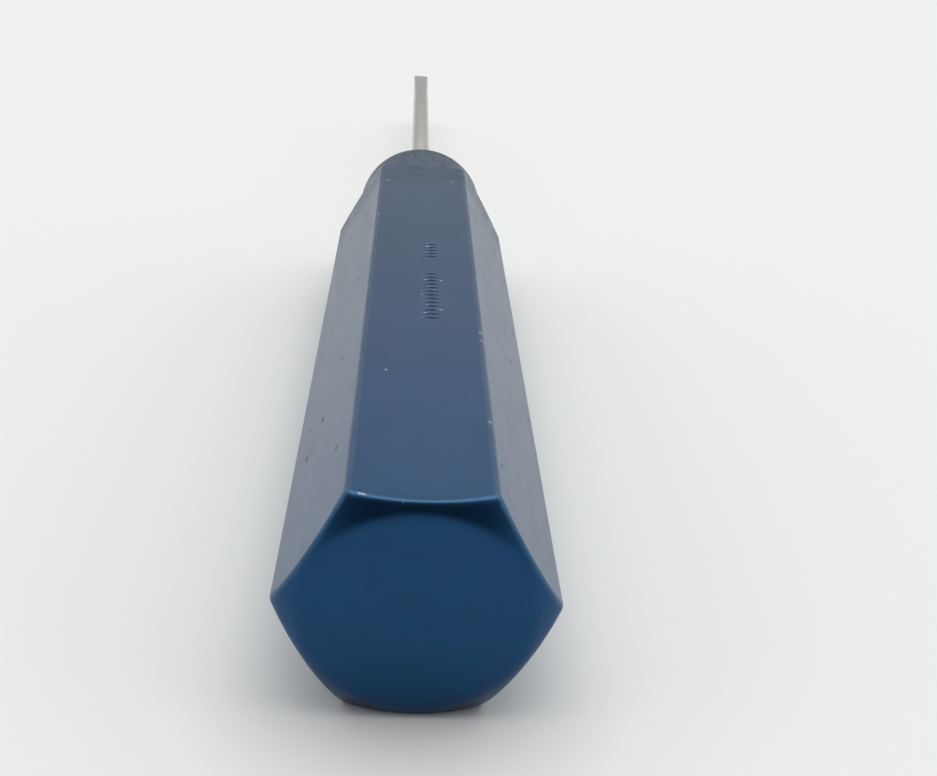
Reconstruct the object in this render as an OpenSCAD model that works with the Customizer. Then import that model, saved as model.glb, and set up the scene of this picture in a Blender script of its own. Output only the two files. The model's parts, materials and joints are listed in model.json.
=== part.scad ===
// Watchmaker's screwdriver: a hexagonal bar handle with a turned nose, and a round steel
// blade that a small set screw clamps in the nose, so that a worn blade can be changed.
// The handle's axis lies along Y and the blade points to +Y. The handle rests on one of
// its flats at z = 0, and the origin is under the middle of the overall length.

/* [Handle] */
// Size across the handle's flats
handle_af = 12; // [11:0.5:14]
// Length of the handle, from the butt to the front of the nose
handle_l = 62.6; // [58:0.1:80]
// Width of the small flat that breaks each long edge
edge_break_w = 0.2; // [0.1:0.05:0.6]

/* [Butt] */
// Diameter of the flat disc left on the butt
butt_disc_d = 10.7; // [9:0.1:10.9]
// Depth of the turned chamfer, measured at the corners of the hexagon
butt_chamfer_l = 1.17; // [0.6:0.01:2.5]
// How far the chamfer bulges out from a straight cone
butt_crown = 0.1; // [0.02:0.01:0.2]

/* [Nose] */
// Diameter of the turned nose
nose_d = 10.9; // [8:0.1:11.5]
// Length of the turned nose, from the foot of the shoulder to its front
nose_l = 6.7; // [5:0.1:10]
// Length of the sloping shoulder between the hexagon's corners and the nose
shoulder_l = 1.7; // [0.8:0.1:3]
// Size of the chamfer round the front face
nose_edge = 0.4; // [0.1:0.1:0.8]

/* [Blade] */
// Diameter of the blade
blade_d = 1.8; // [1.4:0.1:2]
// How far the blade stands out of the nose
blade_out_l = 58.6; // [30:0.1:80]
// Whole length of the blade
blade_l = 80; // [60:1:100]
// Length of the ground tip
tip_l = 16; // [6:1:20]
// Thickness of the ground tip at its end
tip_t = 0.4; // [0.2:0.05:0.8]
// Radial clearance of the blade in its hole
blade_clearance = 0.03; // [0.01:0.01:0.1]
// Empty depth left behind the blade in its hole
blade_hole_spare = 0.6; // [0.2:0.1:2]

/* [Set screw] */
// Outer diameter of the set screw's thread
screw_d = 2; // [1.6:0.1:2.5]
// Length of the set screw
screw_l = 4; // [3:0.5:4]
// Distance from the front of the nose back to the set screw
screw_back = 12.6; // [10:0.1:16]
// Width of the screwdriver slot
slot_w = 0.3; // [0.2:0.05:0.4]
// Depth of the screwdriver slot
slot_depth = 0.7; // [0.4:0.1:1]
// Radial clearance of the set screw in its hole
screw_clearance = 0.03; // [0.01:0.01:0.1]

/* [Pressure pad] */
// Diameter of the pad between the set screw and the blade
pad_d = 1.5; // [1.2:0.1:1.5]
// Thickness of the pad
pad_l = 1; // [0.6:0.1:1.2]
// Radial clearance of the pad in its hole
pad_clearance = 0.05; // [0.01:0.01:0.1]
// Distance from the blade's axis to the flat that the pad presses on
blade_flat_r = 0.7; // [0.55:0.05:0.7]
// How far the blade's flat runs on in front of the set screw
blade_flat_ahead = 2; // [1:0.5:4]

/* [Hidden] */
$fn = 96;

overall_l = handle_l + blade_out_l;
butt_y = -overall_l / 2;
nose_y = butt_y + handle_l;
blade_tip_y = overall_l / 2;
blade_tail_y = blade_tip_y - blade_l;
screw_y = nose_y - screw_back;
axis_z = handle_af / 2;

corner_r = handle_af / sqrt(3);
edge_break_af = 2 * corner_r - edge_break_w / tan(60);
blade_hole_r = blade_d / 2 + blade_clearance;
blade_hole_l = nose_y - blade_tail_y + blade_hole_spare;
drill_point_l = blade_hole_r / tan(59);
mouth_chamfer = 0.3;

// The flat that holds the set screw faces down to the right
screw_tilt = 120;
// Gap that keeps two touching faces of different bodies apart
face_gap = 0.02;
pad_bottom_r = blade_flat_r + face_gap;
pad_top_r = pad_bottom_r + pad_l;
screw_bottom_r = pad_top_r + face_gap;
tapped_bottom_r = pad_top_r - face_gap;
end_chamfer = 0.15;
// Overshoot that makes a cutting shape run clear of what it cuts
over = 1;

// The butt's chamfer is an arc through the disc's edge and the corners of the hexagon
butt_disc_r = butt_disc_d / 2;
chord = norm([corner_r - butt_disc_r, butt_chamfer_l]);
crown_r = (chord * chord / 4 + butt_crown * butt_crown) / (2 * butt_crown);
crown_half_angle = asin(chord / (2 * crown_r));
chord_angle = atan2(butt_chamfer_l, corner_r - butt_disc_r);
crown_mid = [(butt_disc_r + corner_r) / 2, butt_chamfer_l / 2];
crown_centre = crown_mid + (crown_r - butt_crown) * [-sin(chord_angle), cos(chord_angle)];
crown_steps = 8;
crown_points = [
    for (i = [0:crown_steps])
        let (a = chord_angle - 90 + crown_half_angle * (2 * i / crown_steps - 1))
            crown_centre + crown_r * [cos(a), sin(a)]
];

// Half of the handle's turned outline, as [radius, distance from the butt]
nose_r = nose_d / 2;
shoulder_foot = handle_l - nose_l;
shoulder_top = shoulder_foot - shoulder_l;
outline = concat(
    [[0, 0]],
    crown_points,
    [
        [corner_r + over, butt_chamfer_l],
        [corner_r + over, shoulder_top],
        [corner_r, shoulder_top],
        [nose_r, shoulder_foot],
        [nose_r, handle_l - nose_edge],
        [nose_r - nose_edge, handle_l],
        [0, handle_l]
    ]
);

// Lays a shape that was drawn up along Z on the screwdriver's axis, from y onwards
module along_axis(y) {
    translate([0, y, axis_z])
        rotate([-90, 0, 0])
            children();
}

// Stands a shape that was drawn up along Z on the set screw's axis, from the blade outwards
module along_screw() {
    translate([0, screw_y, axis_z])
        rotate([0, screw_tilt, 0])
            children();
}

// A rod with a small chamfer at both ends
module chamfered_rod(r, l, c) {
    cylinder(r1 = r - c, r2 = r, h = c);
    translate([0, 0, c])
        cylinder(r = r, h = l - 2 * c);
    translate([0, 0, l - c])
        cylinder(r1 = r, r2 = r - c, h = c);
}

module hexagonal_bar() {
    intersection() {
        cylinder(r = corner_r, h = handle_l, $fn = 6);
        rotate(30)
            cylinder(r = edge_break_af / sqrt(3), h = handle_l, $fn = 6);
    }
}

module blade_hole() {
    along_axis(nose_y - blade_hole_l)
        cylinder(r = blade_hole_r, h = blade_hole_l + over);
    along_axis(nose_y - blade_hole_l - drill_point_l)
        cylinder(r1 = 0, r2 = blade_hole_r, h = drill_point_l);
    along_axis(nose_y - mouth_chamfer)
        cylinder(r1 = blade_hole_r, r2 = blade_hole_r + mouth_chamfer + over, h = mouth_chamfer + over);
}

module set_screw_hole() {
    along_screw()
        cylinder(r = pad_d / 2 + pad_clearance, h = pad_top_r);
    along_screw()
        translate([0, 0, tapped_bottom_r])
            cylinder(r = screw_d / 2 + screw_clearance, h = handle_af / 2);
}

module handle() {
    color("#1f4f86")
        difference() {
            along_axis(butt_y)
                intersection() {
                    hexagonal_bar();
                    rotate_extrude()
                        polygon(outline);
                }
            blade_hole();
            set_screw_hole();
        }
}

// The blade seen from the side, as [distance from the tail, height over its axis]
module blade_side_outline() {
    half = blade_d / 2 + over;
    shoulder = blade_d / 2;
    polygon([
        [0, -half],
        [blade_l - tip_l, -half],
        [blade_l - tip_l, -shoulder],
        [blade_l, -tip_t / 2],
        [blade_l, tip_t / 2],
        [blade_l - tip_l, shoulder],
        [blade_l - tip_l, half],
        [0, half]
    ]);
}

module blade_rod() {
    along_axis(blade_tail_y) {
        cylinder(r1 = blade_d / 2 - end_chamfer, r2 = blade_d / 2, h = end_chamfer);
        translate([0, 0, end_chamfer])
            cylinder(r = blade_d / 2, h = blade_l - end_chamfer);
    }
}

module blade() {
    tail_flat_l = screw_y - blade_tail_y + blade_flat_ahead;
    color("#b9bab6")
        difference() {
            intersection() {
                blade_rod();
                translate([-blade_d, blade_tail_y, axis_z])
                    rotate([90, 0, 90])
                        linear_extrude(2 * blade_d)
                            blade_side_outline();
            }
            along_screw()
                translate([-blade_d, blade_tail_y - screw_y - over, blade_flat_r])
                    cube([2 * blade_d, tail_flat_l + over, blade_d]);
        }
}

module set_screw() {
    color("#3c3d40")
        along_screw()
            translate([0, 0, screw_bottom_r])
                difference() {
                    chamfered_rod(screw_d / 2, screw_l, end_chamfer);
                    translate([-screw_d, -slot_w / 2, screw_l - slot_depth])
                        cube([2 * screw_d, slot_w, slot_depth + over]);
                }
}

module pressure_pad() {
    color("#c9a24a")
        along_screw()
            translate([0, 0, pad_bottom_r])
                chamfered_rod(pad_d / 2, pad_l, end_chamfer);
}

handle();
blade();
set_screw();
pressure_pad();
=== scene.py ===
import json
import math

import bpy
from mathutils import Matrix, Vector


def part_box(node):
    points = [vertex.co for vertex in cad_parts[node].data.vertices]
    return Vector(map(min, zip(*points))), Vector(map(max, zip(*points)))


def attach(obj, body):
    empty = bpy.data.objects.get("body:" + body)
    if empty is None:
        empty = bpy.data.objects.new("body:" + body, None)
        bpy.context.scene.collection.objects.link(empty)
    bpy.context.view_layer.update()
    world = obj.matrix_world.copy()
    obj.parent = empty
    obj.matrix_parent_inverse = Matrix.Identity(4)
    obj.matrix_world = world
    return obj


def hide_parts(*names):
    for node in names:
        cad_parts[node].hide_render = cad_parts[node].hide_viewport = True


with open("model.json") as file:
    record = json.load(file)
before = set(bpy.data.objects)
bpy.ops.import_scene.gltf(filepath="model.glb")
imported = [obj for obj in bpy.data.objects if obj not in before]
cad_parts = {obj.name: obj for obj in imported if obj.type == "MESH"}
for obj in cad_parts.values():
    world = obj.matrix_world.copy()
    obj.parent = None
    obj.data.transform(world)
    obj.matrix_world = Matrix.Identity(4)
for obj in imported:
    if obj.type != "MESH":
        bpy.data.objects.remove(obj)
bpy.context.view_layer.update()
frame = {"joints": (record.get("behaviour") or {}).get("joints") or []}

# Shapes are made in millimetres, and finish_piece turns them into metres
MM = 1000

# ---------------------------------------------------------------- sizes from the frame

handle_low, handle_high = [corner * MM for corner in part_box("handle")]
blade_low, blade_high = [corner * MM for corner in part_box("blade")]
across_flats = handle_high.z - handle_low.z
corner_r = across_flats / math.sqrt(3)
flat_r = across_flats / 2
handle_l = handle_high.y - handle_low.y
butt_y = handle_low.y
nose_y = handle_high.y
axis_z = (handle_low.z + handle_high.z) / 2

blade_r = (blade_high.z - blade_low.z) / 2
tail_y = blade_low.y
blade_l = blade_high.y - blade_low.y

screw_turn = next(joint for joint in frame["joints"] if joint["name"] == "set_screw_turn")
screw_foot = Vector(screw_turn["pos_m"]) * MM
screw_axis = Vector(screw_turn["axis"])

# ---------------------------------------------------------------- sizes of the details

# The bar's long edges are rounded in short steps, and its flats are divided into strips
edge_round = 0.37
edge_segments = 8
flat_cuts = 23

butt_disc_r = 5.35
butt_chamfer_l = 1.17
butt_crown = 0.1
butt_rim = 0.24
butt_softness = 0.16
# Steps along the butt's chamfer, and how many more carry its crown on behind the rim
butt_steps = 40
butt_lead = 18

nose_r = 5.45
shoulder_foot = handle_l - 6.7
shoulder_top = shoulder_foot - 1.7
nose_edge = 0.4
nose_softness = 0.08

# The turned cones are carried on a little past the bar's corners, the butt's at this angle
run_out_l = 0.5
butt_angle = 48

# Rings of vertices: beyond the butt's chamfer, along the bar, over the shoulder, close to the
# nose's edges and set into the two end faces
run_out_rings = [0.04 * i for i in range(1, 9)]
middle_rings = [2, 10, 20, 30, 40, 50]
shoulder_lead = 0.24
shoulder_steps = 48
edge_ring = 0.05
nose_ring = 2
cap_rings = [0.15, 0.5, 1.2]

# The tally: groups of strokes as (distance from the butt, number of strokes)
mark_x = 0.55
mark_groups = [(21.4, 13), (32.2, 5)]
mark_pitch = 0.62
stroke_l = 1.55
stroke_w = 0.40
stroke_depth = 0.11

# Nicks down to the metal on the top flat: (x, distance from the butt, radius)
nicks = [(-2.8, 50.0, 0.17), (2.4, 50.3, 0.15), (3.35, 19.4, 0.14), (-2.0, 13.8, 0.11), (-3.3, 41.0, 0.14)]

hole_r = 0.93
hole_l = nose_y - tail_y + 0.6
hole_mouth = 0.3
drill_half_angle = 59
drill_tip_r = 0.02

# Cutting tools stand out this far beyond what they cut, and square ones are this wide to each side
overcut = 1
tool_half_w = 2

tip_l = 16
tip_half = 0.2
blade_edge = 0.05
tail_chamfer = 0.15

thread_pitch = 0.4
thread_depth = 0.22
# One tooth, as shares of the pitch: its root is flat up to the first, its crest between the others
root_end = 0.15
crest_start = 0.5
crest_end = 0.65
thread_steps = 40
spare_turns = 2

screw_r = 1.0
screw_start = 1.74
screw_l = 4.0
screw_chamfer = 0.15
slot_w = 0.3
slot_depth = 0.7
# The thread's two ends are chamfered this much further, and the blank just clears its crests
cone_extra = 0.1
blank_gap = 0.001

tapped_start = 1.70
tap_gap = 0.03
# The cylinder that trims the tap's ends stands out of it by these
tap_extra_r = 0.1
tap_extra_l = 0.6
pilot_r = 0.80
# The pilot hole flares where the thread starts, as (distance from that start, added radius)
pilot_flare = [(-0.02, 0), (0.08, 0.1)]
# The countersink's cone, as (distance above the flat, radius beyond the tapped hole's)
sink_cone = [(-0.25, -0.1), (0.5, 0.65)]

pad_r = 0.75
pad_start = 0.72
pad_l = 1.0
# The pad's rounded edges, as (distance from its end, how far inside its radius)
pad_edge = [(0, 0.15), (0.03, 0.06), (0.12, 0)]

# The flat on the blade's tail: how far from its axis, and how far past the set screw it runs
blade_flat_r = 0.7
blade_flat_end = 2.0
notch_top = 3

floor_size = 16

# ---------------------------------------------------------------- camera

camera_data = bpy.data.cameras.new("camera")
camera_data.lens = 45.568
camera_data.sensor_width = 36
camera_data.clip_start = 0.005
camera_data.clip_end = 20
camera = bpy.data.objects.new("camera", camera_data)
camera.location = (-0.00123, -0.104862, 0.039339)
camera.rotation_euler = [math.radians(angle) for angle in (64.0515, -3.5124, -1.9852)]
bpy.context.collection.objects.link(camera)
bpy.context.scene.camera = camera

# ---------------------------------------------------------------- modelling helpers


def deselect():
    """Nothing is selected and nothing is active."""
    bpy.ops.object.select_all(action="DESELECT")
    bpy.context.view_layer.objects.active = None


def pick(piece):
    """Only this piece is selected, and it is active."""
    deselect()
    piece.select_set(True)
    bpy.context.view_layer.objects.active = piece


def edit(piece):
    pick(piece)
    bpy.ops.object.mode_set(mode="EDIT")


def leave():
    bpy.ops.object.mode_set(mode="OBJECT")


def apply(piece, modifier):
    pick(piece)
    bpy.ops.object.modifier_apply(modifier=modifier.name)


def outward(piece):
    """All faces of a closed piece point outwards."""
    edit(piece)
    bpy.ops.mesh.select_all(action="SELECT")
    bpy.ops.mesh.normals_make_consistent(inside=False)
    leave()


def put(piece, place):
    """Turns and moves a piece's mesh, and leaves its object at the origin."""
    pick(piece)
    piece.matrix_world = place
    bpy.ops.object.transform_apply(location=True, rotation=True, scale=True)
    return piece


def select_edges(piece, wanted):
    """In edit mode, only the edges whose two ends satisfy wanted(a, b) are selected."""
    bpy.ops.mesh.select_all(action="DESELECT")
    bpy.ops.mesh.select_mode(type="EDGE")
    leave()
    points = piece.data.vertices
    for one in piece.data.edges:
        one.select = wanted(points[one.vertices[0]].co, points[one.vertices[1]].co)
    bpy.ops.object.mode_set(mode="EDIT")


def turned(name, outline, steps=96):
    """A turned solid from (distance along Z, radius) pairs, drawn by extruding its first disc."""
    deselect()
    distance, radius = outline[0]
    bpy.ops.mesh.primitive_circle_add(
        vertices=steps, radius=radius, fill_type="NGON", location=(0, 0, distance)
    )
    piece = bpy.context.object
    piece.name = name
    edit(piece)
    bpy.ops.mesh.select_all(action="SELECT")
    for (before, old), (after, new) in zip(outline, outline[1:]):
        bpy.ops.mesh.extrude_region_move(
            TRANSFORM_OT_translate={"value": (0, 0, after - before)}
        )
        share = new / old
        bpy.ops.transform.resize(value=(share, share, 1), center_override=(0, 0, 0))
    leave()
    outward(piece)
    return put(piece, piece.matrix_world.copy())


def block(name, low, high):
    """A rectangular solid between two corners."""
    deselect()
    low, high = Vector(low), Vector(high)
    bpy.ops.mesh.primitive_cube_add(size=1, location=(low + high) / 2, scale=high - low)
    piece = bpy.context.object
    piece.name = name
    return put(piece, piece.matrix_world.copy())


def cut(piece, tool, operation="DIFFERENCE"):
    """Cuts a piece with a tool, which is used up."""
    boolean = piece.modifiers.new("cut", "BOOLEAN")
    boolean.operation = operation
    boolean.object = tool
    boolean.solver = "EXACT"
    apply(piece, boolean)
    bpy.data.objects.remove(tool)


def soften(piece, width, segments, angle):
    """Breaks every edge that is sharper than an angle in degrees."""
    bevel = piece.modifiers.new("soften", "BEVEL")
    bevel.width = width
    bevel.segments = segments
    bevel.limit_method = "ANGLE"
    bevel.angle_limit = math.radians(angle)
    bevel.use_clamp_overlap = True
    apply(piece, bevel)


def finish_piece(piece, body, node, look, smooth_angle=25):
    """Scales a piece to metres, smooths it and lets it stand for its CAD node."""
    put(piece, Matrix.Scale(1 / MM, 4))
    bpy.ops.object.shade_smooth_by_angle(angle=math.radians(smooth_angle))
    piece.data.materials.clear()
    piece.data.materials.append(look)
    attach(piece, body)
    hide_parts(node)


def along_axis(y):
    """Lays what is drawn up along Z on the screwdriver's axis, with z = 0 at a given y."""
    return Matrix.Translation((0, y, axis_z)) @ Matrix.Rotation(math.radians(-90), 4, "X")


# Turns what is drawn up along Z to the set screw's direction, and stands it on that screw's axis
to_screw = Vector((0, 0, 1)).rotation_difference(screw_axis).to_matrix().to_4x4()
along_screw = Matrix.Translation(screw_foot) @ to_screw

# ---------------------------------------------------------------- handle


def soft_least(a, b, width):
    """The smaller of two values, rounded off where they are closer than width."""
    near = max(width - abs(a - b), 0) / width
    return min(a, b) - near * near * width / 4


def butt_outline():
    """The disc's rim and the crowned chamfer of the butt, as (distance from the butt, radius)."""
    spread = corner_r - butt_disc_r
    rise = math.atan2(butt_chamfer_l, spread)
    points = []
    for i in range(-butt_lead, butt_steps + 1):
        share = i / butt_steps
        bulge = 4 * butt_crown * share * (1 - share)
        distance = share * butt_chamfer_l - bulge * math.cos(rise)
        radius = butt_disc_r + share * spread + bulge * math.sin(rise)
        distance = -soft_least(-distance, 0, butt_rim)
        if not points or distance > 1e-5:
            points.append((distance, radius))
    return points


butt_points = butt_outline()
nose_points = [
    (shoulder_top, corner_r),
    (shoulder_foot, nose_r),
    (handle_l - nose_edge, nose_r),
    (handle_l, nose_r - nose_edge),
]


def between(points, distance):
    """The radius at a distance on an outline, or far outside the bar beyond its ends."""
    for (before, r0), (after, r1) in zip(points, points[1:]):
        if before <= distance <= after:
            return r0 + (r1 - r0) * (distance - before) / max(after - before, 1e-9)
    return 2 * corner_r


def turned_radius(distance):
    """Radius of the turned butt and nose at a distance from the butt."""
    last_distance, last_r = butt_points[-1]
    if distance < last_distance - 1e-6:
        return between(butt_points, max(distance, 0))
    if distance < last_distance + run_out_l:
        return last_r + (distance - last_distance) / math.tan(math.radians(butt_angle))
    if shoulder_top - run_out_l < distance < shoulder_top:
        rise = (shoulder_top - distance) * (corner_r - nose_r) / (shoulder_foot - shoulder_top)
        return corner_r + rise
    return between(nose_points, min(distance, handle_l))


def stations():
    """Distances from the butt at which the handle has a ring of vertices."""
    found = [distance for distance, _ in butt_points]
    found += [found[-1] + further for further in run_out_rings]
    found += middle_rings
    first = shoulder_top - shoulder_lead
    length = shoulder_foot - first
    found += [first + length * i / shoulder_steps for i in range(shoulder_steps + 1)]
    found += [shoulder_foot + edge_ring, shoulder_foot + nose_ring, handle_l - nose_edge - edge_ring]
    found += [handle_l - nose_edge, handle_l - nose_edge / 2, handle_l]
    return found


def turn_ends(piece):
    """Turns the bar's butt and nose down, with a soft run-out into the flats."""
    for vertex in piece.data.vertices:
        distance = vertex.co.y - butt_y
        reach = math.hypot(vertex.co.x, vertex.co.z - axis_z)
        softness = butt_softness if distance < handle_l / 2 else nose_softness
        share = soft_least(reach, turned_radius(distance), softness) / reach
        vertex.co.x *= share
        vertex.co.z = axis_z + (vertex.co.z - axis_z) * share


def ring_caps(bar):
    """Sets rings into the two end faces, so that they shade flat up to their rims."""
    edit(bar)
    bpy.ops.mesh.select_mode(type="FACE")
    bpy.ops.mesh.select_all(action="DESELECT")
    leave()
    # Every other face has four corners
    for face in bar.data.polygons:
        face.select = len(face.vertices) > 8
    edit(bar)
    for thickness in cap_rings:
        bpy.ops.mesh.inset(thickness=thickness)
    leave()


def handle_bar():
    """A hexagonal bar with rounded long edges, its two ends turned."""
    deselect()
    bpy.ops.mesh.primitive_circle_add(vertices=6, radius=corner_r, fill_type="NGON")
    bar = bpy.context.object
    bar.name = "hexagonal_handle"
    edit(bar)
    bpy.ops.mesh.select_all(action="SELECT")
    bpy.ops.mesh.bevel(
        offset=edge_round * math.tan(math.radians(30)), segments=edge_segments, affect="VERTICES"
    )
    select_edges(bar, lambda a, b: (a - b).length > edge_round)
    bpy.ops.mesh.subdivide(number_cuts=flat_cuts)
    leave()
    put(bar, along_axis(butt_y) @ Matrix.Rotation(math.radians(90), 4, "Z"))
    edit(bar)
    bpy.ops.mesh.select_mode(type="FACE")
    bpy.ops.mesh.select_all(action="SELECT")
    places = stations()
    for before, after in zip(places, places[1:]):
        bpy.ops.mesh.extrude_region_move(
            TRANSFORM_OT_translate={"value": (0, after - before, 0)}
        )
    leave()
    outward(bar)
    turn_ends(bar)
    ring_caps(bar)
    return bar


def blade_hole():
    """The drilled hole with its drill point and its chamfered mouth, as a tool."""
    point_l = hole_r / math.tan(math.radians(drill_half_angle))
    outline = [
        (-point_l, drill_tip_r),
        (0, hole_r),
        (hole_l - hole_mouth, hole_r),
        (hole_l + overcut, hole_r + hole_mouth + overcut),
    ]
    return put(turned("blade_hole", outline), along_axis(nose_y - hole_l))


def thread(name, outer_r, start, length):
    """A right-handed thread up along Z, with spare turns below start and above start + length."""
    deselect()
    bpy.ops.mesh.primitive_plane_add(size=0.1, location=(0, 0, 0))
    piece = bpy.context.object
    piece.name = name
    edit(piece)
    bpy.ops.mesh.select_all(action="SELECT")
    bpy.ops.mesh.merge(type="CENTER")
    root_r = outer_r - thread_depth
    corners = [
        (root_r, 0),
        (root_r, thread_pitch * root_end),
        (outer_r, thread_pitch * crest_start),
        (outer_r, thread_pitch * crest_end),
        (root_r, thread_pitch),
    ]
    bpy.ops.transform.translate(value=(root_r, 0, start - spare_turns * thread_pitch))
    for (r0, z0), (r1, z1) in zip(corners, corners[1:]):
        bpy.ops.mesh.extrude_region_move(
            TRANSFORM_OT_translate={"value": (r1 - r0, 0, z1 - z0)}
        )
    leave()
    helix = piece.modifiers.new("helix", "SCREW")
    helix.angle = math.radians(360)
    helix.screw_offset = thread_pitch
    helix.iterations = math.ceil(length / thread_pitch) + 2 * spare_turns
    helix.steps = thread_steps
    helix.render_steps = thread_steps
    helix.use_merge_vertices = False
    apply(piece, helix)
    edit(piece)
    bpy.ops.mesh.select_all(action="SELECT")
    bpy.ops.mesh.remove_doubles(threshold=0.002)
    bpy.ops.mesh.select_all(action="DESELECT")
    bpy.ops.mesh.select_mode(type="VERT")
    bpy.ops.mesh.select_non_manifold()
    bpy.ops.mesh.fill()
    leave()
    outward(piece)
    return piece


def set_screw_hole():
    """The pilot hole, the tapped hole and its countersink, as one tool."""
    tapped_r = screw_r + tap_gap
    wide_r = tapped_r + tap_extra_r
    tool = thread("tap", tapped_r, tapped_start, flat_r - tapped_start)
    ends = [(tapped_start, wide_r), (flat_r + tap_extra_l, wide_r)]
    cut(tool, turned("tap_ends", ends, steps=48), "INTERSECT")
    drilled = [(0, pilot_r)]
    drilled += [(tapped_start + along, pilot_r + wider) for along, wider in pilot_flare]
    drilled += [(flat_r, pilot_r + pilot_flare[-1][1])]
    cut(tool, turned("pilot", drilled, steps=48), "UNION")
    cone = [(flat_r + above, tapped_r + wider) for above, wider in sink_cone]
    cut(tool, turned("sink", cone, steps=64), "UNION")
    return put(tool, along_screw)


def punch_mark(piece):
    """Two groups of short chisel strokes across the top flat, as a tally."""
    # Each stroke is cut by a pyramid that points down, half of it in the metal. The flat cuts it
    # half way up, where it is as long and as wide as the stroke
    turn = Matrix.Rotation(math.radians(180), 4, "X")
    size = Matrix.Diagonal((stroke_l, stroke_w, 2 * stroke_depth, 1))
    base_z = axis_z + flat_r + stroke_depth
    strokes = []
    for start, count in mark_groups:
        for i in range(count):
            deselect()
            bpy.ops.mesh.primitive_cone_add(
                vertices=4, radius1=1, radius2=0, depth=1, location=(0, 0, 0.5)
            )
            stroke = bpy.context.object
            bpy.ops.object.transform_apply(location=True)
            place = Matrix.Translation((mark_x, butt_y + start + i * mark_pitch, base_z))
            strokes.append(put(stroke, place @ turn @ size))
    deselect()
    for stroke in strokes:
        stroke.select_set(True)
    bpy.context.view_layer.objects.active = strokes[0]
    bpy.ops.object.join()
    cut(piece, strokes[0])


def make_handle(look):
    handle = handle_bar()
    cut(handle, blade_hole())
    cut(handle, set_screw_hole())
    punch_mark(handle)
    finish_piece(handle, "handle", "handle", look, smooth_angle=24)


# ---------------------------------------------------------------- blade


def make_blade(look):
    outline = [
        (0, blade_r - tail_chamfer),
        (tail_chamfer, blade_r),
        (blade_l - tip_l - 1, blade_r),
        (blade_l, blade_r),
    ]
    blade = turned("blade_rod", outline, steps=64)
    slope = math.atan2(blade_r - tip_half, tip_l)
    edit(blade)
    for side in (1, -1):
        bpy.ops.mesh.select_all(action="SELECT")
        bpy.ops.mesh.bisect(
            plane_co=(0, side * blade_r, blade_l - tip_l),
            plane_no=(0, side * math.cos(slope), math.sin(slope)),
            use_fill=True,
            clear_outer=True,
            threshold=1e-5,
        )
    leave()
    soften(blade, blade_edge, segments=2, angle=30)
    put(blade, along_axis(tail_y))
    flat_end_y = screw_foot.y + blade_flat_end
    low = (-tool_half_w, tail_y - overcut, blade_flat_r)
    notch = block("notch", low, (tool_half_w, flat_end_y, notch_top))
    put(notch, Matrix.Translation((0, 0, axis_z)) @ to_screw)
    cut(blade, notch)
    finish_piece(blade, "blade", "blade", look)


# ---------------------------------------------------------------- set screw and pad


def make_set_screw(look):
    screw = thread("grub_screw", screw_r, screw_start, screw_l)
    end = screw_start + screw_l
    end_r = screw_r - screw_chamfer - cone_extra
    full_r = screw_r + blank_gap
    outline = [
        (screw_start, end_r),
        (screw_start + screw_chamfer + cone_extra, full_r),
        (end - screw_chamfer - cone_extra, full_r),
        (end, end_r),
    ]
    cut(screw, turned("blank", outline, steps=64), "INTERSECT")
    low = (-tool_half_w, -slot_w / 2, end - slot_depth)
    cut(screw, block("slot", low, (tool_half_w, slot_w / 2, end + overcut)))
    put(screw, along_screw)
    finish_piece(screw, "set_screw", "set_screw", look)


def make_pad(look):
    end = pad_start + pad_l
    outline = [(pad_start + along, pad_r - inside) for along, inside in pad_edge]
    outline += [(end - along, pad_r - inside) for along, inside in reversed(pad_edge)]
    pad = turned("brass_pad", outline, steps=48)
    put(pad, along_screw)
    finish_piece(pad, "pressure_pad", "pressure_pad", look)


# ---------------------------------------------------------------- materials


class Value:
    """A socket that takes part in Python sums. Each operator adds its own Math node."""

    def __init__(self, look, socket):
        self.look = look
        self.socket = socket

    def math(self, operation, *others):
        inputs = dict(enumerate([self, *others]))
        return self.look.node("ShaderNodeMath", {"operation": operation}, inputs)

    def __add__(self, other):
        return self.math("ADD", other)

    def __mul__(self, other):
        return self.math("MULTIPLY", other)

    def __sub__(self, other):
        return self.math("SUBTRACT", other)

    def __rsub__(self, other):
        return self.look.node("ShaderNodeMath", {"operation": "SUBTRACT"}, {0: other, 1: self})

    def __truediv__(self, other):
        return self.math("DIVIDE", other)

    def __pow__(self, other):
        return self.math("POWER", other)

    __radd__ = __add__
    __rmul__ = __mul__


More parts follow.
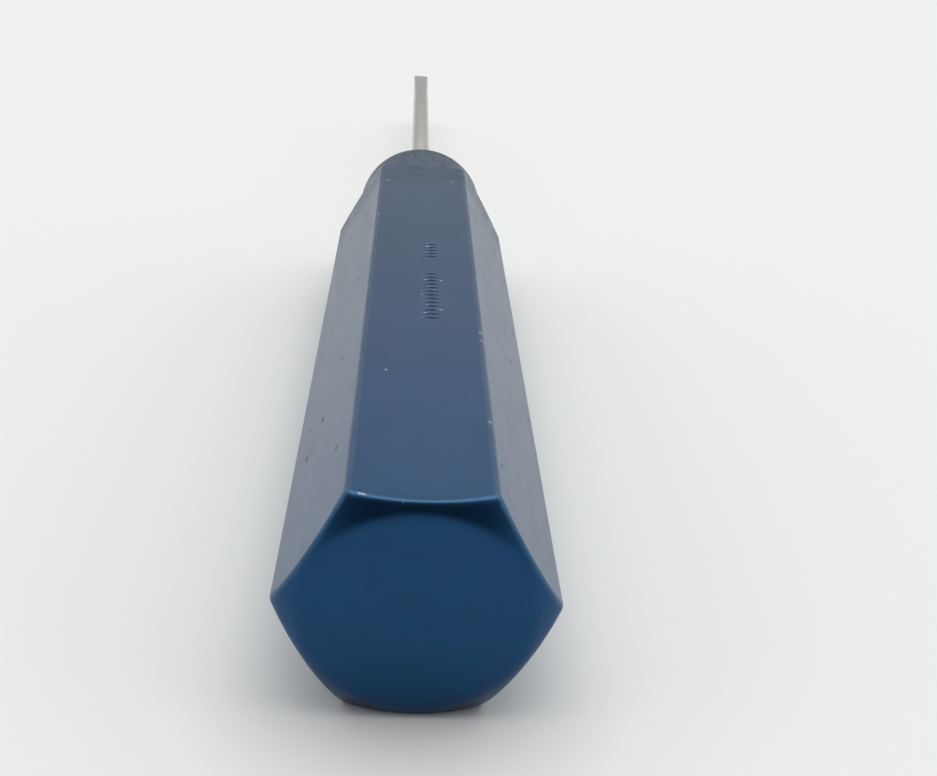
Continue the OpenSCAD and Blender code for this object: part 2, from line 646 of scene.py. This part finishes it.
class Look:
    """The nodes of a material or of the studio's light, added one by one."""

    def __init__(self, owner, coordinates="Object"):
        self.owner = owner
        owner.use_nodes = True
        self.tree = owner.node_tree
        self.tree.nodes.clear()
        self.place = self.node("ShaderNodeTexCoord", out=coordinates)

    def node(self, kind, settings=None, inputs=None, out=0):
        """Adds a node: its settings first, then its sockets' values or links."""
        made = self.tree.nodes.new(kind)
        for name, value in (settings or {}).items():
            setattr(made, name, value)
        for name, value in (inputs or {}).items():
            if isinstance(value, Value):
                self.tree.links.new(value.socket, made.inputs[name])
            else:
                made.inputs[name].default_value = value
        return Value(self, made.outputs[out]) if made.outputs else made

    def noise(self, size, detail=2, roughness=0.5, stretch=(1, 1, 1), seed=0):
        """Soft noise whose features are about size metres, drawn out along an axis by stretch."""
        place = self.node("ShaderNodeMapping", None, {
            "Vector": self.place,
            "Location": (seed * 0.137, seed * 0.271, seed * 0.319),
            "Scale": [1 / (size * s) for s in stretch],
        })
        return self.node("ShaderNodeTexNoise", None, {
            "Vector": place, "Scale": 1.0, "Detail": detail, "Roughness": roughness,
        })

    def specks(self, spacing, size, seed=0, stretch=(1, 1, 1)):
        """1 on scattered small spots, 0 elsewhere."""
        place = self.node("ShaderNodeMapping", None, {
            "Vector": self.place,
            "Location": (seed * 0.173, seed * 0.311, seed * 0.237),
            "Scale": [1 / (spacing * s) for s in stretch],
        })
        inputs = {"Vector": place, "Scale": 1.0}
        distance = self.node("ShaderNodeTexVoronoi", {"feature": "F1"}, inputs, out="Distance")
        return 1 - self.step(distance, size / spacing * 0.4, size / spacing)

    def step(self, value, low, high):
        """0 below low and 1 above high, or the other way round, with a soft edge."""
        return self.node(
            "ShaderNodeMapRange",
            {"interpolation_type": "SMOOTHSTEP", "clamp": True},
            {"Value": value, "From Min": low, "From Max": high},
        )

    def mix(self, share, first, second):
        """The first colour where share is 0 and the second where it is 1."""
        inputs = {0: share}
        for index, colour in ((6, first), (7, second)):
            inputs[index] = colour if isinstance(colour, Value) else (*colour, 1)
        return self.node("ShaderNodeMix", {"data_type": "RGBA"}, inputs, out=2)

    def axes(self):
        """The three coordinates of the shaded point, in metres."""
        split = self.node("ShaderNodeSeparateXYZ", None, {0: self.place})
        return [Value(self, split.socket.node.outputs[i]) for i in range(3)]

    def bump(self, height, distance):
        inputs = {"Height": height, "Distance": distance, "Strength": 1.0}
        return self.node("ShaderNodeBump", None, inputs)

    def done(self, **sockets):
        """Ends the material with a Principled shader."""
        shader = self.node("ShaderNodeBsdfPrincipled", None, {
            name.replace("_", " "): value for name, value in sockets.items()
        })
        self.node("ShaderNodeOutputMaterial", None, {"Surface": shader})
        return self.owner


def edge_masks(look, x, y, z):
    """Two masks: the butt's rims, and the nose's rims with the long edges. Lengths are in millimetres."""
    across = x * MM
    up = z * MM - axis_z
    distance = y * MM - butt_y
    reach = (across * across + up * up).math("SQRT")
    slant = across * math.cos(math.radians(30))
    square = up.math("ABSOLUTE").math("MAXIMUM", (slant + up * 0.5).math("ABSOLUTE"))
    square = square.math("MAXIMUM", (slant - up * 0.5).math("ABSOLUTE")).math("MAXIMUM", 0.01)
    flat_reach = reach * flat_r / square
    butt_reach = butt_disc_r + 0.12 + distance * ((corner_r - butt_disc_r) / butt_chamfer_l)
    slope = (corner_r - nose_r) / (shoulder_foot - shoulder_top)
    nose_reach = corner_r + shoulder_top * slope - distance * slope
    butt_rims = 1 - look.step((flat_reach - butt_reach).math("ABSOLUTE"), 0.02, 0.34)
    nose_rims = 1 - look.step((flat_reach - nose_reach).math("ABSOLUTE"), 0.02, 0.25)
    long_edges = look.step(reach, 6.76, 6.88)
    on_flats = look.step(reach, 5.7, 5.95)
    return butt_rims * on_flats, (nose_rims * on_flats).math("MAXIMUM", long_edges)


def dye(look, blotch, turned_face):
    """The mottled blue dye. The turned butt took a deeper one."""
    cloud = look.noise(0.005, 3, 0.6, seed=2)
    blue = look.mix(cloud, (0.0060, 0.054, 0.146), (0.0110, 0.070, 0.172))
    deeper = look.mix(cloud, (0.0016, 0.046, 0.132), (0.0040, 0.058, 0.156))
    blue = look.mix(turned_face, blue, deeper)
    return look.mix(blotch * 0.3, blue, (0.002, 0.034, 0.094))


def wear_and_highlight_edges(look, blue, x, y, z):
    """Paler blue along the edges: a thinner oxide where they rub, and a painted highlight, most of all on
    the butt's rims. A few nicks go down to the metal.
    """
    butt_rims, other_edges = edge_masks(look, x, y, z)
    patchy = look.step(look.noise(0.0016, 4, 0.7, seed=4), 0.25, 0.65)
    # Painted highlight and paler oxide: pale blue along the butt's rims, then along the nose's rims and
    # the long edges
    blue = look.mix(butt_rims * (0.45 + patchy * 0.4), blue, (0.040, 0.115, 0.215))
    blue = look.mix(other_edges * (0.25 + patchy * 0.4), blue, (0.070, 0.135, 0.220))
    edges = butt_rims.math("MAXIMUM", other_edges)
    nick = look.step(edges, 0.5, 0.9) * look.step(look.noise(0.0007, 2, 0.5, seed=7), 0.68, 0.74)
    return look.mix(nick * 0.7, blue, (0.45, 0.46, 0.46))


def nick_top_flat(look, blue, x, distance, z):
    """The largest nicks on the top flat, a little longer than they are wide."""
    on_top = look.step(z, 0.0112, 0.0115)
    for place, start, size in nicks:
        away = (x * MM - place) ** 2 + ((distance - start) * 0.6) ** 2
        spot = 1 - look.step(away, size * size * 0.2, size * size)
        blue = look.mix(spot * on_top * 0.8, blue, (0.28, 0.33, 0.35))
    return blue


def shade_and_glint_strokes(look, blue, x, distance, z):
    """The punched strokes are darkened with a painted shade, and their rims are pale where the punch broke
    the oxide, partly bare metal and partly a painted glint.
    """
    depth = (axis_z + flat_r) / MM - z
    inside = look.step(distance, 20, 20.5) * (1 - look.step(distance, 36, 36.5))
    inside = inside * (1 - look.step((x * MM - mark_x).math("ABSOLUTE"), 1.2, 1.4))
    inside = inside * look.step(z, 0.0115, 0.0117)
    rim = look.step(depth, 0.000001, 0.000004) * inside
    broken_and_glinting = look.step(look.noise(0.0005, 2, 0.5, seed=13), 0.60, 0.68)
    # Bare metal with painted glints on the strokes' rims
    blue = look.mix(rim * (0.12 + broken_and_glinting * 0.8), blue, (0.42, 0.46, 0.48))
    # Painted shade: the deeper parts of the strokes are mixed to near black
    return look.mix(look.step(depth, 0.000008, 0.000026) * inside, blue, (0.004, 0.011, 0.018))


def blue_anodised():
    look = Look(bpy.data.materials.new("blue_anodised_aluminium"))
    x, y, z = look.axes()
    distance = y * MM - butt_y
    blotch = look.step(look.noise(0.0011, 3, 0.65, (1, 4, 1), seed=5), 0.35, 0.75)
    turned_face = 1 - look.step(distance, 0.5, 1.3)
    blue = dye(look, blotch, turned_face)
    # Painted reflection: a pale grey is mixed into the side flats, most of all towards the nose, and they
    # are a little rougher there
    side = 1 - look.step(z, 0.0113, 0.0118)
    sheen_patches = look.step(look.noise(0.0024, 4, 0.65, (1, 3, 1), seed=8), 0.25, 0.7)
    painted_side_sheen = side * (0.04 + look.step(distance, 12, 52) * 0.26) * (1 - turned_face)
    blue = look.mix(painted_side_sheen * (0.45 + sheen_patches * 0.75), blue, (0.22, 0.25, 0.24))
    # From a few millimetres before the shoulder onwards, the blue is mixed in patches towards a darker,
    # greyer blue
    front = look.step(distance, 48, 52)
    dull = front * look.step(look.noise(0.0011, 3, 0.6, seed=9), 0.3, 0.62)
    blue = look.mix(dull * 0.5, blue, (0.024, 0.042, 0.062))
    blue = wear_and_highlight_edges(look, blue, x, y, z)
    # Small pits, most of them on the side flats, and a few bright scratches before the shoulder
    pitted = look.step(look.noise(0.007, 2, 0.5, seed=11), 0.3, 0.6)
    pitted = pitted * (0.3 + side * 0.7) * (1 - turned_face)
    pit = look.specks(0.0010, 0.00015, seed=1, stretch=(1, 2.2, 1)) * pitted
    blue = look.mix(pit * 0.75, blue, (0.006, 0.014, 0.022))
    bright = look.specks(0.0034, 0.00012, seed=6) * front
    blue = look.mix(bright, blue, (0.4, 0.42, 0.42))
    blue = nick_top_flat(look, blue, x, distance, z)
    blue = shade_and_glint_strokes(look, blue, x, distance, z)
    grain = look.noise(0.00011, 3, 0.6, (1, 30, 1))
    tooth = look.noise(0.00016, 2, 0.6, seed=3)
    roughness = 0.29 + blotch * 0.04 + painted_side_sheen * 0.25 + dull * 0.08 + tooth * 0.06
    height = grain * 0.7 + tooth * 0.9 - pit * 3.0
    return look.done(
        Base_Color=blue,
        Metallic=1 - pit * 0.9,
        Roughness=roughness + pit * 0.3,
        Coat_Weight=(0.28 + blotch * 0.06) * (1 - pit),
        Coat_Roughness=0.3,
        Normal=look.bump(height, 0.0000018),
    )


def ground_steel():
    look = Look(bpy.data.materials.new("blade_steel"))
    y = look.axes()[1]
    rings = look.noise(0.00009, 3, 0.6, (9, 1, 9), seed=1)
    cloud = look.noise(0.004, 3, 0.6, seed=3)
    steel = look.mix(rings, (0.52, 0.505, 0.475), (0.66, 0.645, 0.60))
    steel = look.mix(cloud * 0.35, steel, (0.44, 0.42, 0.385))
    # The ground tip is brighter, and its last tenths are worn and stained by use
    from_tip = (tail_y + blade_l) / MM - y
    ground = 1 - look.step(from_tip, 0.0150, 0.0158)
    lines = look.noise(0.00007, 2, 0.6, (9, 1, 9), seed=8)
    steel = look.mix(ground * 0.6, steel, look.mix(lines, (0.56, 0.55, 0.53), (0.72, 0.71, 0.69)))
    used = (1 - look.step(from_tip, 0.0, 0.0022)) * look.step(look.noise(0.0007, 3, 0.6, seed=4), 0.3, 0.7)
    steel = look.mix(used * 0.7, steel, (0.24, 0.21, 0.17))
    # Marks where the screw's pad and the hole have gripped the tail
    into = (nose_y - 1.0) / MM - y
    gripped = look.step(into, 0.0, 0.002) * look.step(look.noise(0.0016, 3, 0.65, seed=6), 0.42, 0.62)
    steel = look.mix(gripped * 0.5, steel, (0.20, 0.185, 0.16))
    scratch = look.step(look.noise(0.00016, 2, 0.5, (1, 22, 1), seed=5), 0.66, 0.74)
    steel = look.mix(scratch * 0.4, steel, (0.78, 0.77, 0.75))
    roughness = 0.27 + rings * 0.12 + used * 0.12 - ground * 0.04
    return look.done(
        Base_Color=steel,
        Metallic=1.0,
        Roughness=roughness,
        Anisotropic=0.35,
        Normal=look.bump(rings + scratch * 0.6, 0.0000012),
    )


def from_screw_foot(look):
    """The shaded point's offset from the foot of the set screw's axis, in millimetres."""
    return [value * MM - foot for value, foot in zip(look.axes(), screw_foot)]


def along_screw_axis(x, y, z):
    """How far along the set screw's axis such an offset reaches."""
    return x * screw_axis.x + y * screw_axis.y + z * screw_axis.z


def black_oxide():
    look = Look(bpy.data.materials.new("blackened_screw_steel"))
    patch = look.noise(0.0004, 3, 0.6)
    black = look.mix(patch, (0.018, 0.018, 0.020), (0.045, 0.043, 0.041))
    x, y, z = from_screw_foot(look)
    along = along_screw_axis(x, y, z)
    square = x ** 2 + y ** 2 + z ** 2
    reach = (square - along * along).math("MAXIMUM", 0.0).math("SQRT")
    # The crests of the thread and the mouth of the slot are rubbed back to steel
    crest = look.step(reach, screw_r - 0.05, screw_r - 0.005)
    slot_mouth = look.step(along, screw_start + screw_l - 0.05, screw_start + screw_l - 0.01)
    rubbed = look.step(look.noise(0.00035, 3, 0.65, seed=3), 0.38, 0.62)
    black = look.mix(crest * rubbed * 0.75, black, (0.34, 0.33, 0.31))
    black = look.mix(slot_mouth * rubbed * 0.45, black, (0.26, 0.25, 0.24))
    rust = look.step(look.noise(0.00025, 2, 0.6, seed=6), 0.68, 0.76)
    black = look.mix(rust * 0.4, black, (0.09, 0.035, 0.015))
    roughness = 0.46 - crest * rubbed * 0.14 + rust * 0.25
    return look.done(
        Base_Color=black,
        Metallic=0.9,
        Roughness=roughness,
        Normal=look.bump(look.noise(0.00006, 3, 0.6, seed=2), 0.0000025),
    )


def turned_brass():
    look = Look(bpy.data.materials.new("pad_brass"))
    patch = look.noise(0.0003, 3, 0.6)
    brass = look.mix(patch, (0.50, 0.325, 0.105), (0.68, 0.475, 0.175))
    along = along_screw_axis(*from_screw_foot(look))
    # Fine turning lines around the slug, and a darker ring where the screw turns on it
    line_pitch = 0.03
    lines = (along * (math.tau / line_pitch)).math("SINE") * 0.5 + 0.5
    brass = look.mix(lines * 0.25, brass, (0.36, 0.225, 0.07))
    pressed = look.step(along, pad_start + pad_l - 0.02, pad_start + pad_l - 0.005)
    brass = look.mix(pressed * look.noise(0.0002, 3, 0.6, seed=4) * 0.8, brass, (0.18, 0.12, 0.055))
    tarnish = look.step(look.noise(0.0005, 3, 0.6, seed=5), 0.5, 0.75)
    brass = look.mix(tarnish * 0.35, brass, (0.25, 0.15, 0.055))
    return look.done(
        Base_Color=brass,
        Metallic=1.0,
        Roughness=0.26 + tarnish * 0.14,
        Normal=look.bump(lines, 0.0000012),
    )


def white_sheet():
    look = Look(bpy.data.materials.new("white_sheet"))
    fibre = look.noise(0.0009, 4, 0.6)
    white = look.mix(fibre, (0.890, 0.893, 0.880), (0.905, 0.907, 0.898))
    return look.done(Base_Color=white, Roughness=0.9, Normal=look.bump(fibre, 0.00002))


# ---------------------------------------------------------------- stage and light


def make_stage():
    deselect()
    bpy.ops.mesh.primitive_plane_add(size=floor_size, location=(0, 0, 0))
    floor = bpy.context.object
    floor.name = "floor"
    floor.data.materials.append(white_sheet())


def make_light():
    """A soft sky that is brightest overhead and dark behind the camera."""
    world = bpy.data.worlds.new("studio")
    bpy.context.scene.world = world
    sky = Look(world, "Generated")
    x, y, z = sky.axes()
    dome = sky.step(z, 0.22, 0.55)
    overhead = sky.step(z, 0.65, 0.95)
    behind_camera = sky.step(z * 0.64 - y * 0.77 + x.math("ABSOLUTE") * 0.3, 0.66, 0.96)
    sides = sky.step(x.math("ABSOLUTE"), 0.12, 0.8)
    low = 0.48 + sides * 0.6
    strength = low + dome * (1.25 - low) + overhead * (1.3 - y * 0.6)
    strength = strength * (1 - behind_camera * 0.9) * (1 + x * z * 0.22) * 0.87
    inputs = {"Color": (0.985, 0.995, 1.0, 1), "Strength": strength}
    back = sky.node("ShaderNodeBackground", None, inputs)
    sky.node("ShaderNodeOutputWorld", None, {"Surface": back})
    bpy.context.scene.view_settings.view_transform = "Standard"
    bpy.context.scene.view_settings.look = "None"


make_handle(blue_anodised())
make_blade(ground_steel())
make_set_screw(black_oxide())
make_pad(turned_brass())
make_stage()
make_light()
deselect()
